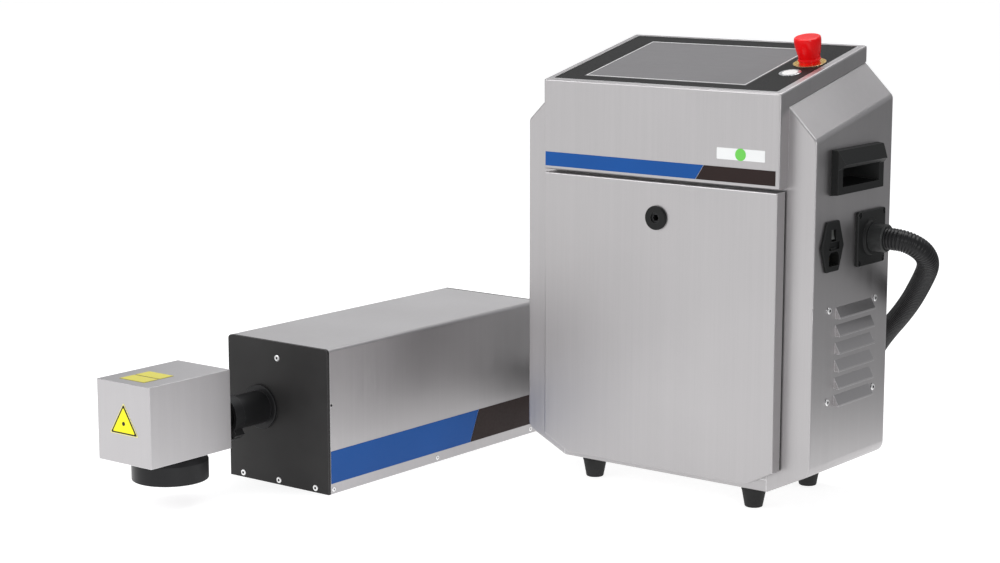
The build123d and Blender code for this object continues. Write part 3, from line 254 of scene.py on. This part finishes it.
def moulded(name, color, rough=0.5, grain=1500, depth=0.00006, **uniform):
    """Moulded plastic with a fine sparked grain, and its edges painted towards grey: a painted highlight on
    dark plastics.
    """
    m = Nodes(name, rough, **uniform)
    fine = m.noise(grain, detail=4)
    cloud = m.noise(14, detail=3)
    tone = m.mix(m.span(cloud, 0, 1), rgba(color, 0.85), rgba(color, 1.2))
    # edges painted towards grey, as a highlight on the dark plastics
    painted_edge_colour = rgba([c * 0.6 + 0.12 for c in color])
    m.colour(m.mix(m.maths("MULTIPLY", m.edges(0.0008), 0.35), tone, painted_edge_colour))
    m.roughness(m.maths("ADD", m.span(fine, rough - 0.06, rough + 0.08), m.span(cloud, -0.04, 0.04)))
    m.bump(fine, 0.4, depth)
    return m.material


def painted(name, color, rough=0.3):
    m = Nodes(name, rough, Specular_IOR_Level=0.22)
    peel = m.noise(420, detail=2)
    cloud = m.noise(9, detail=2)
    m.colour(m.mix(m.span(cloud, 0, 1), rgba(color, 0.94), rgba(color, 1.05)))
    m.roughness(m.span(peel, rough - 0.05, rough + 0.07))
    m.bump(peel, 0.12, 0.00005)
    return m.material


def glassy(name, color, rough=0.12):
    """Dark cover glass, with faint smears in its gloss."""
    m = Nodes(name, rough, Coat_Weight=0.06, Coat_Roughness=0.05, Specular_IOR_Level=0.2)
    smear = m.noise(16, (1, 3, 1), detail=5, distortion=1.5)
    m.colour(m.mix(m.span(smear, 0, 1), rgba(color, 0.96), rgba(color, 1.04)))
    m.roughness(m.span(smear, rough, rough + 0.1))
    m.bump(m.noise(90, detail=1), 0.02, 0.0001)
    return m.material


def rubbery(name, color):
    m = Nodes(name, 0.7, Specular_IOR_Level=0.35)
    pores = m.noise(1100, detail=5)
    cloud = m.noise(25, detail=3)
    m.colour(m.mix(m.span(cloud, 0, 1), rgba(color, 0.7), rgba(color, 1.6)))
    m.roughness(m.span(pores, 0.6, 0.8))
    m.bump(pores, 0.5, 0.0001)
    return m.material


def circuit(name):
    m = Nodes(name, 0.35, Coat_Weight=0.4)
    tracks = m.tree.nodes.new("ShaderNodeTexBrick")
    mapping = m.node("ShaderNodeMapping", Vector=m.coord.outputs["Object"], Scale=(90, 90, 90))
    m.tree.links.new(mapping.outputs[0], tracks.inputs["Vector"])
    m.colour(m.mix(tracks.outputs["Fac"], (0.01, 0.10, 0.04, 1), (0.05, 0.26, 0.12, 1)))
    m.roughness(m.span(m.noise(300), 0.25, 0.45))
    m.bump(tracks.outputs["Fac"], 0.3, 0.0001)
    return m.material


STEEL = (0.47, 0.457, 0.462)
M = {
    "steel": brushed("brushed_stainless", STEEL),
    "head_steel": brushed("brushed_head_steel", (0.48, 0.467, 0.473), 0.36, (900, 900, 12), 0.05),
    "scan_steel": brushed("brushed_scan_head", (0.53, 0.517, 0.526), 0.42, (700, 700, 40), 0.05),
    "mill": brushed("milled_aluminium", (0.6, 0.6, 0.61), 0.4, (60, 700, 700), 0.2),
    "plated": brushed("plated_metal", (0.78, 0.78, 0.79), 0.22, (500, 500, 500), 0.08),
    "white_metal": brushed("bright_screws", (0.95, 0.95, 0.95), 0.3, (500, 500, 500), 0.05),
    "gold": brushed("gold_ring", (0.85, 0.55, 0.13), 0.25, (500, 500, 500), 0.08),
    "brass": brushed("brass_pins", (0.83, 0.62, 0.28), 0.25, (400, 400, 400), 0.08),
    "plate": anodised("black_end_plate", (0.03, 0.029, 0.029), 0.5),
    "dark_metal": anodised("black_anodised", (0.018, 0.018, 0.019), 0.38),
    "panel": moulded("black_panel_film", (0.014, 0.014, 0.014), 0.5, 900, 0.00003, Specular_IOR_Level=0.1),
    "black": moulded("black_plastic", (0.009, 0.0095, 0.0095), 0.46, 1400, Specular_IOR_Level=0.22),
    "dark": moulded("dark_grey_plastic", (0.011, 0.0115, 0.0115), 0.46, 1400, Specular_IOR_Level=0.25),
    "grey": moulded("grey_plastic", (0.10, 0.105, 0.10), 0.4),
    "cuff": moulded("grey_cuff", (0.03, 0.031, 0.031), 0.38, 1200, Specular_IOR_Level=0.35),
    "white": moulded("white_button", (0.78, 0.78, 0.77), 0.3, 1200, 0.00003),
    "red": moulded("red_gloss", (0.84, 0.004, 0.006), 0.2, 500, 0.00001, Coat_Weight=0.12,
                   Coat_Roughness=0.08, Specular_IOR_Level=0.18),
    "hose": moulded("hose_polymer", (0.011, 0.011, 0.012), 0.38, 900, 0.00004, Specular_IOR_Level=0.3),
    "rubber": rubbery("foot_rubber", (0.014, 0.014, 0.014)),
    "foam": rubbery("seal_foam", (0.03, 0.03, 0.03)),
    "screen": glassy("screen_glass", (0.165, 0.16, 0.165), 0.3),
    "lens": glassy("coated_lens", (0.06, 0.02, 0.05), 0.04),
    "blue": painted("stripe_blue", (0.002, 0.074, 0.31), 0.4),
    "stripe_dark": painted("stripe_dark", (0.018, 0.008, 0.007), 0.45),
    "label_white": painted("label_white", (0.82, 0.83, 0.83), 0.35),
    "label_green": painted("label_green", (0.16, 0.60, 0.10), 0.35),
    "yellow": painted("label_yellow", (0.95, 0.88, 0.02), 0.4),
    "straw": painted("label_straw", (0.66, 0.60, 0.10), 0.45),
    "ochre": painted("label_ochre", (0.36, 0.31, 0.06), 0.45),
    "pale": painted("label_margin", (0.80, 0.75, 0.32), 0.45),
    "ink": painted("label_ink", (0.02, 0.018, 0.01), 0.4),
    "line": painted("screen_outline", (0.8, 0.8, 0.8), 0.3),
    "board": circuit("circuit_board"),
}
MIRROR = Nodes("scan_mirror", 0.03, metal=1.0)
MIRROR.colour(MIRROR.mix(MIRROR.noise(40), (0.92, 0.92, 0.93, 1), (0.95, 0.94, 0.92, 1)))
MIRROR.roughness(MIRROR.span(MIRROR.noise(200), 0.02, 0.05))
M["mirror"] = MIRROR.material

NODE_MATERIAL = {
    "steel": "hood_cover left_side_panel right_side_panel base_pan front_frame door_panel rear_panel",
    "head_steel": "head_cover",
    "scan_steel": "scan_housing",
    "plate": "head_front_plate head_rear_plate",
    "panel": "control_panel",
    "screen": "touch_screen",
    "black": "handle_left handle_right inlet_housing fuse_drawer estop_contacts fan_frame fan_rotor"
             " lock_housing",
    "dark": "hose_flange display_module",
    "grey": "rocker_switch",
    "cuff": "hose_cuff",
    "red": "estop_head estop_plunger",
    "gold": "estop_collar",
    "plated": "button_bezel lock_cam hinge_pins cabinet_screws head_screws",
    "white": "button_cap",
    "dark_metal": "lens_barrel tube_clamp scan_neck beam_tube lock_core",
    "rubber": "rubber_feet",
    "foam": "door_seal",
    "brass": "inlet_pins",
    "mill": "head_base scan_base galvo_block laser_source laser_driver marking_controller mounting_plate"
            " power_supply beam_expander galvo_motors head_gland",
    "mirror": "mirror_x mirror_y",
    "lens": "lens_glass",
    "board": "driver_board",
}


def dress_cad_nodes():
    for key, names in NODE_MATERIAL.items():
        for name in names.split():
            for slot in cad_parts[name].material_slots:
                slot.material = M[key]


# ------------------------------------------------------------------ small pieces
def piece(name, mesh_maker, material, body="root"):
    """A new object from a bmesh-filling function, dressed in its materials and riding on a body."""
    bm = bmesh.new()
    mesh_maker(bm)
    bmesh.ops.recalc_face_normals(bm, faces=bm.faces)
    mesh = bpy.data.meshes.new(name)
    bm.to_mesh(mesh)
    bm.free()
    for key in material.split():
        mesh.materials.append(M[key])
    obj = bpy.data.objects.new(name, mesh)
    bpy.context.scene.collection.objects.link(obj)
    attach(obj, body)
    return obj


def slab(bm, outline, thickness, bevel=0.0):
    """A flat plate: outline is a list of points on the surface, and thickness a vector out of it."""
    low = [bm.verts.new(p) for p in outline]
    high = [bm.verts.new(p + thickness) for p in outline]
    bm.faces.new(low)
    top = bm.faces.new(high)
    n = len(low)
    for i in range(n):
        bm.faces.new((low[i], low[(i + 1) % n], high[(i + 1) % n], high[i]))
    if bevel:
        bmesh.ops.bevel(bm, geom=list(top.edges), offset=bevel, segments=2, affect="EDGES")


def circle(radius, count):
    """Points round a circle, as (x, y) pairs."""
    angles = [2 * math.pi * k / count for k in range(count)]
    return [(radius * math.cos(a), radius * math.sin(a)) for a in angles]


CORNER_STEPS = 5


def rounded(corners, radius):
    """A closed 2-D outline with its corners rounded."""
    points = []
    count = len(corners)
    for i, corner in enumerate(corners):
        here = Vector(corner)
        before = (Vector(corners[i - 1]) - here).normalized()
        after = (Vector(corners[(i + 1) % count]) - here).normalized()
        half = before.angle(after) / 2
        reach = radius / math.tan(half)
        middle = here + (before + after).normalized() * (radius / math.sin(half))
        start = here + before * reach - middle
        end = here + after * reach - middle
        for k in range(CORNER_STEPS + 1):
            points.append(middle + start.slerp(end, k / CORNER_STEPS))
    return points


def ring_of(bm, outer, inner, thickness):
    """A flat frame between two outlines with the same number of points."""
    n = len(outer)
    rows = [[bm.verts.new(p) for p in loop] for loop in
            (outer, [p + thickness for p in outer], [p + thickness for p in inner], inner)]
    for a, b in zip(rows, rows[1:] + rows[:1]):
        for i in range(n):
            bm.faces.new((a[i], a[(i + 1) % n], b[(i + 1) % n], b[i]))


def revolve(bm, place, axis, profile, segments=40):
    """Turns (radius, height) points round an axis through place, and returns the faces."""
    turn = axis.normalized().to_track_quat("Z", "Y").to_matrix()
    faces = []
    rows = []
    for radius, height in profile:
        if radius < 1e-7:
            rows.append([bm.verts.new(place + turn @ Vector((0, 0, height)))])
            continue
        ring = circle(radius, segments)
        rows.append([bm.verts.new(place + turn @ Vector((x, y, height))) for x, y in ring])
    for a, b in zip(rows, rows[1:]):
        for k in range(segments):
            j = (k + 1) % segments
            corners = list(dict.fromkeys((a[k % len(a)], a[j % len(a)], b[j % len(b)], b[k % len(b)])))
            if len(corners) > 2:
                faces.append(bm.faces.new(corners))
    return faces


# ------------------------------------------------------------------ stripes and labels
FILM = 0.0002                    # thickness of printed film
FILM_BEVEL = 0.00008
LAYER_BEVEL = 0.00005
FILM_GAP = 0.05                  # a film stands this many millimetres off the sheet
OUT_FRONT = Vector((0, -FILM, 0))
OUT_PANEL = Vector((0, -math.sin(SLOPE), math.cos(SLOPE)))


def film(name, outline, out, bevel, material):
    """A piece of printed film over an outline."""
    piece(name, lambda bm: slab(bm, outline, out, bevel), material)


def stripe_parts(start, split_low, split_high, end, low, high, gap):
    """The blue and the dark length of a stripe, with a slanting gap between them."""
    blue = [(start, low), (split_low, low), (split_high, high), (start, high)]
    dark = [(split_low + gap, low), (end, low), (end, high), (split_high + gap, high)]
    return ("blue", blue, "blue"), ("dark", dark, "stripe_dark")


def make_hood_stripe():
    for part, points, material in stripe_parts(-159, 52.0, 62.8, 157, 379.5, 396.2, 0.6):
        outline = [at(x, -FILM_GAP, z) for x, z in points]
        film(f"hood_stripe_{part}", outline, OUT_FRONT, FILM_BEVEL, material)


def make_head_stripe():
    x = plate_hi.x + FILM_GAP / 1000
    out = Vector((FILM, 0, 0))
    front, back = plate_lo.y + 0.0045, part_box("head_cover")[1].y - 0.0005
    split_low, split_high = ORIGIN.y + 0.0381, ORIGIN.y + 0.0554
    for part, points, material in stripe_parts(front, split_low, split_high, back, 0.0125, 0.0518, 0.0006):
        outline = [Vector((x, y, z)) for y, z in points]
        film(f"head_stripe_{part}", outline, out, FILM_BEVEL, material)


LABEL_CORNERS = ((79, 403.6), (144.4, 403.6), (144.4, 419), (79, 419))
LABEL_CORNER_R = 2.2
LABEL_DOT = (111.5, 411.3)
LABEL_DOT_R = 7.0


def make_hood_label():
    plate = [at(p.x, -FILM_GAP, p.y) for p in rounded(LABEL_CORNERS, LABEL_CORNER_R)]
    film("hood_label", plate, OUT_FRONT, FILM_BEVEL, "label_white")
    dot = [at(LABEL_DOT[0] + x, -0.26, LABEL_DOT[1] + z) for x, z in circle(LABEL_DOT_R, 40)]
    film("hood_label_dot", dot, OUT_FRONT / 2, 0.0, "label_green")


# in millimetres: the triangle's corners from its middle, and how large each layer of it is
TRIANGLE = ((0, 20.8), (-19.5, -10.5), (19.5, -10.5))
TRIANGLE_LAYERS = (("margin", 1.17, "pale"), ("edge", 1.07, "ink"), ("face", 0.91, "yellow"))
TRIANGLE_HEIGHT = 0.1066
TRIANGLE_DOT_R = 2.3
TRIANGLE_DOT_UP = 0.6
TOP_PLATE = ((-20.3, -11.2), (20.3, -11.2), (20.3, 11.2), (-20.3, 11.2))
TOP_PLATE_LAYERS = (("rim", 0, "ochre"), ("face", 0.9, "straw"))
TOP_PLATES = (("top_plate_near", 0.0268), ("top_plate_far", 0.051))
PLATE_CORNER_R = 0.8


def make_triangle(lo, hi):
    middle = Vector(((lo.x + hi.x) / 2 + 0.0004, lo.y - FILM_GAP / 1000, TRIANGLE_HEIGHT))
    layers = []
    for part, size, material in TRIANGLE_LAYERS:
        flat = rounded([(x * size, z * size) for x, z in TRIANGLE], PLATE_CORNER_R)
        layers.append((part, [(p.x, p.y) for p in flat], material))
    dot = [(x, z + TRIANGLE_DOT_UP) for x, z in circle(TRIANGLE_DOT_R, 24)]
    layers.append(("dot", dot, "ink"))
    for layer, (part, flat, material) in enumerate(layers):
        outline = [middle + Vector((x / 1000, -layer * FILM, z / 1000)) for x, z in flat]
        film(f"triangle_{part}", outline, OUT_FRONT, LAYER_BEVEL, material)


def make_top_plate(name, lo, hi, back):
    centre = Vector(((lo.x + hi.x) / 2 - 0.002, lo.y + back, hi.z + 0.00002))
    for layer, (part, inset, material) in enumerate(TOP_PLATE_LAYERS):
        inner = [(x - math.copysign(inset, x), y - math.copysign(inset, y)) for x, y in TOP_PLATE]
        flat = rounded(inner, PLATE_CORNER_R)
        outline = [centre + Vector((p.x, p.y, 1000 * layer * FILM)) / 1000 for p in flat]
        film(f"{name}_{part}", outline, Vector((0, 0, FILM)), LAYER_BEVEL, material)


def make_head_labels():
    """A plain triangle on the scan head's front and two plain plates on its top, without lettering."""
    lo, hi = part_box("scan_housing")
    make_triangle(lo, hi)
    for name, back in TOP_PLATES:
        make_top_plate(name, lo, hi, back)


# in millimetres across and up the panel
OUTLINE_LO = (-118.0, 24.5)
OUTLINE_HI = (101.0, 167.5)
OUTLINE_WIDTH = 1.7


def make_screen_outline():
    """The thin light line round the screen."""
    loops = []
    for inset, corner_radius in ((0, 1.2), (OUTLINE_WIDTH, 0.6)):
        u0, v0 = OUTLINE_LO[0] + inset, OUTLINE_LO[1] + inset
        u1, v1 = OUTLINE_HI[0] - inset, OUTLINE_HI[1] - inset
        flat = rounded([(u0, v0), (u1, v0), (u1, v1), (u0, v1)], corner_radius)
        loops.append([on_panel(p.x, p.y, -0.28) for p in flat])
    outer, inner = loops
    piece("screen_outline", lambda bm: ring_of(bm, outer, inner, OUT_PANEL * 0.0003), "line")


# ------------------------------------------------------------------ screws
def socket_screw(bm, place, out, radius, dome=0.0006, flush=0.0, socket=0.42):
    """A screw head whose hexagon socket is painted dark as shade in its recess; out is the way it faces."""
    axis = out.normalized()
    hole = radius * socket
    top = flush + dome
    rim = [(radius, flush), (radius * 0.96, flush + dome * 0.6), (radius * 0.8, top), (hole, top)]
    revolve(bm, place, axis, rim, 36)
    # the socket's faces take the second material, dark on the bright screws: painted shade in the recess
    hexagon = revolve(bm, place, axis, [(hole, top), (hole * 0.97, flush - 0.0002), (0, flush - 0.0004)], 6)
    for face in hexagon:
        face.material_index = 1


# in millimetres across from the head's middle and up, and in metres behind the front plate
END_SCREWS = ((0, 154.3), (-59, 5.5), (0, 5.5), (59, 5.5))
SIDE_SCREWS = (0.009, 0.2006, 0.3919)
SIDE_SCREW_Z = 0.0054
FAN_CENTRE = (0.1063, 0.1843)
FAN_SCREWS = 0.0525              # from the fan's centre, each way
FLANGE_SCREWS = 0.0275           # from the hose's exit, each way
SIDE_PANEL_X = 0.1976
REAR_SCREW_X = 173
REAR_SCREW_Z = (71, 267, 463)


def make_head_screws():
    """Bright button-head screws of the end plates, and the small ones along the cover's sides."""
    def fill(bm):
        for y, out in ((plate_lo.y, -1), (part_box("head_rear_plate")[1].y, 1)):
            for x, z in END_SCREWS:
                place = Vector((head_x + x / 1000, y, z / 1000))
                socket_screw(bm, place, Vector((0, out, 0)), 0.0038, 0.0006)
        for side_x, out in ((plate_hi.x, 1), (plate_lo.x, -1)):
            for offset in SIDE_SCREWS:
                place = Vector((side_x, plate_lo.y + offset, SIDE_SCREW_Z))
                socket_screw(bm, place, Vector((out, 0, 0)), 0.0029, 0.0005)
    made = piece("head_screw_heads", fill, "white_metal dark_metal")
    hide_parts("head_screws")


def make_cabinet_screws():
    """The fan's and the rear panel's bright screws, and the flange's black ones."""
    panel_x = ORIGIN.x + SIDE_PANEL_X

    def fill(bm):
        corners = [(dy, dz) for dy in (-1, 1) for dz in (-1, 1)]
        for dy, dz in corners:
            y, z = ORIGIN.y + FAN_CENTRE[0] + dy * FAN_SCREWS, FAN_CENTRE[1] + dz * FAN_SCREWS
            place = Vector((panel_x, y, z))
            socket_screw(bm, place, Vector((1, 0, 0)), 0.004, 0.0012, 0.0004)
        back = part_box("rear_panel")[1].y
        for x in (-REAR_SCREW_X, REAR_SCREW_X):
            for z in REAR_SCREW_Z:
                place = Vector((ORIGIN.x + x / 1000, back, z / 1000))
                socket_screw(bm, place, Vector((0, 1, 0)), 0.0038, 0.0014, 0.0002)
        bright = len(bm.faces)
        for dy, dz in corners:
            y, z = HOSE_EXIT.y + dy * FLANGE_SCREWS, HOSE_EXIT.z + dz * FLANGE_SCREWS
            place = Vector((panel_x + 0.0016, y, z))
            socket_screw(bm, place, Vector((1, 0, 0)), 0.0034, 0.0006, 0.0008)
        for face in list(bm.faces)[bright:]:
            face.material_index = 1
    made = piece("cabinet_screw_heads", fill, "white_metal dark_metal")
    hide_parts("cabinet_screws")


# ------------------------------------------------------------------ umbilical
HOSE_R = 0.0128
COIL_CENTRE = (-100.0, 400.0)
COIL_R = 141.0
GLAND_Z = 56.0
# the control polygon of even turns stands outside the circle that it makes
COIL_POLYGON_R = COIL_R / math.cos(math.radians(15))
CABINET_RUN = [
    (222, 140.5, 310.5),
    (232.5, 140.5, 310.5),
    (243, 144.5, 308.4),
    (252, 150.4, 303.7),
    (258, 161, 295.2),
    (255.6, 178.5, 280.4),
    (236.9, 203.6, 258.9),
    (199.1, 237, 214.3),
    (139.6, 280.5, 162.1),
    (84, 330, 98),
    (41, 354, 64),
]
HEAD_RUN = [
    (-155, 540.5, 12.8),
    (-215, 533, 12.8),
    (-272, 510, 12.8),
    (-321, 470, 12.8),
    (-357, 418, 14.8),
    (-378, 358, 24),
    (-385.3, 298, 44),
    (-385.3, 252, GLAND_Z),
    (-385.3, 212, GLAND_Z),
]
TURN_STEP = 30
TURNS_END = 810
COIL_FLOOR_Z = 12.8
COIL_LAYER = 25.6
LAYER_DROPS = ((125, 185), (485, 545))


def eased(value, low, high):
    """0 below low, 1 above high, and a smooth step between them."""
    t = min(max((value - low) / (high - low), 0), 1)
    return t * t * (3 - 2 * t)


def coil_points():
    """Two and a quarter turns that step down from the third layer to the floor."""
    points = []
    for angle in range(TURN_STEP // 2, TURNS_END, TURN_STEP):
        layer = 2 - sum(eased(angle, low, high) for low, high in LAYER_DROPS)
        x = COIL_CENTRE[0] + COIL_POLYGON_R * math.cos(math.radians(angle))
        y = COIL_CENTRE[1] + COIL_POLYGON_R * math.sin(math.radians(angle))
        points.append((x, y, COIL_FLOOR_Z + COIL_LAYER * layer))
    return points


def hose_line():
    """Points along the hose's smooth line, read from its NURBS spline."""
    route = [at(*p) for p in CABINET_RUN + coil_points() + HEAD_RUN]
    curve = bpy.data.curves.new("hose_route", "CURVE")
    curve.dimensions = "3D"
    curve.resolution_u = 10
    spline = curve.splines.new("NURBS")
    spline.points.add(len(route) - 1)
    for point, place in zip(spline.points, route):
        point.co = (*place, 1)
    spline.order_u = 3
    spline.use_endpoint_u = True
    holder = bpy.data.objects.new("hose_route", curve)
    bpy.context.scene.collection.objects.link(holder)
    bpy.context.view_layer.update()
    mesh = bpy.data.meshes.new_from_object(holder.evaluated_get(bpy.context.evaluated_depsgraph_get()))
    line = [v.co.copy() for v in mesh.vertices]
    bpy.data.objects.remove(holder)
    return line


def resampled(line, step):
    """The same line at even steps."""
    points = [line[0]]
    left = step
    for a, b in zip(line, line[1:]):
        length = (b - a).length
        along = left
        while along <= length:
            points.append(a.lerp(b, along / length))
            along += step
        left = along - length
    if (points[-1] - line[-1]).length > step * 0.3:
        points.append(line[-1])
    return points


RIB_PITCH = 0.0034
RIB_PROFILE = (HOSE_R, HOSE_R - 0.00025, HOSE_R - 0.0011, HOSE_R - 0.00025)
HOSE_SEGMENTS = 28


def make_hose():
    """A corrugated conduit: rounded ribs with narrow valleys, swept along the hose's line."""
    line = hose_line()
    path = resampled(line, RIB_PITCH / len(RIB_PROFILE))
    unit = circle(1, HOSE_SEGMENTS)
    bm = bmesh.new()
    side = Vector((0, 0, 1))
    rows = []
    for i, place in enumerate(path):
        ahead = path[min(i + 1, len(path) - 1)] - path[max(i - 1, 0)]
        ahead.normalize()
        side = (side - ahead * side.dot(ahead)).normalized()
        across = ahead.cross(side)
        radius = RIB_PROFILE[i % len(RIB_PROFILE)]
        rows.append([bm.verts.new(place + radius * (side * c + across * s)) for c, s in unit])
    for a, b in zip(rows, rows[1:]):
        for k in range(HOSE_SEGMENTS):
            j = (k + 1) % HOSE_SEGMENTS
            bm.faces.new((a[k], a[j], b[j], b[k]))
    bm.faces.new(rows[0])
    bm.faces.new(rows[-1])
    bmesh.ops.recalc_face_normals(bm, faces=bm.faces)
    mesh = bpy.data.meshes.new("umbilical")
    bm.to_mesh(mesh)
    bm.free()
    mesh.materials.append(M["hose"])
    mesh.shade_smooth()
    hose = bpy.data.objects.new("umbilical", mesh)
    bpy.context.scene.collection.objects.link(hose)
    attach(hose, "root")
    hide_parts("hose_cabinet_run", "hose_coil", "hose_head_run")


make_camera()
make_hose()
make_studio()
dress_cad_nodes()
make_hood_stripe()
make_head_stripe()
make_hood_label()
make_head_labels()
make_screen_outline()
make_head_screws()
make_cabinet_screws()
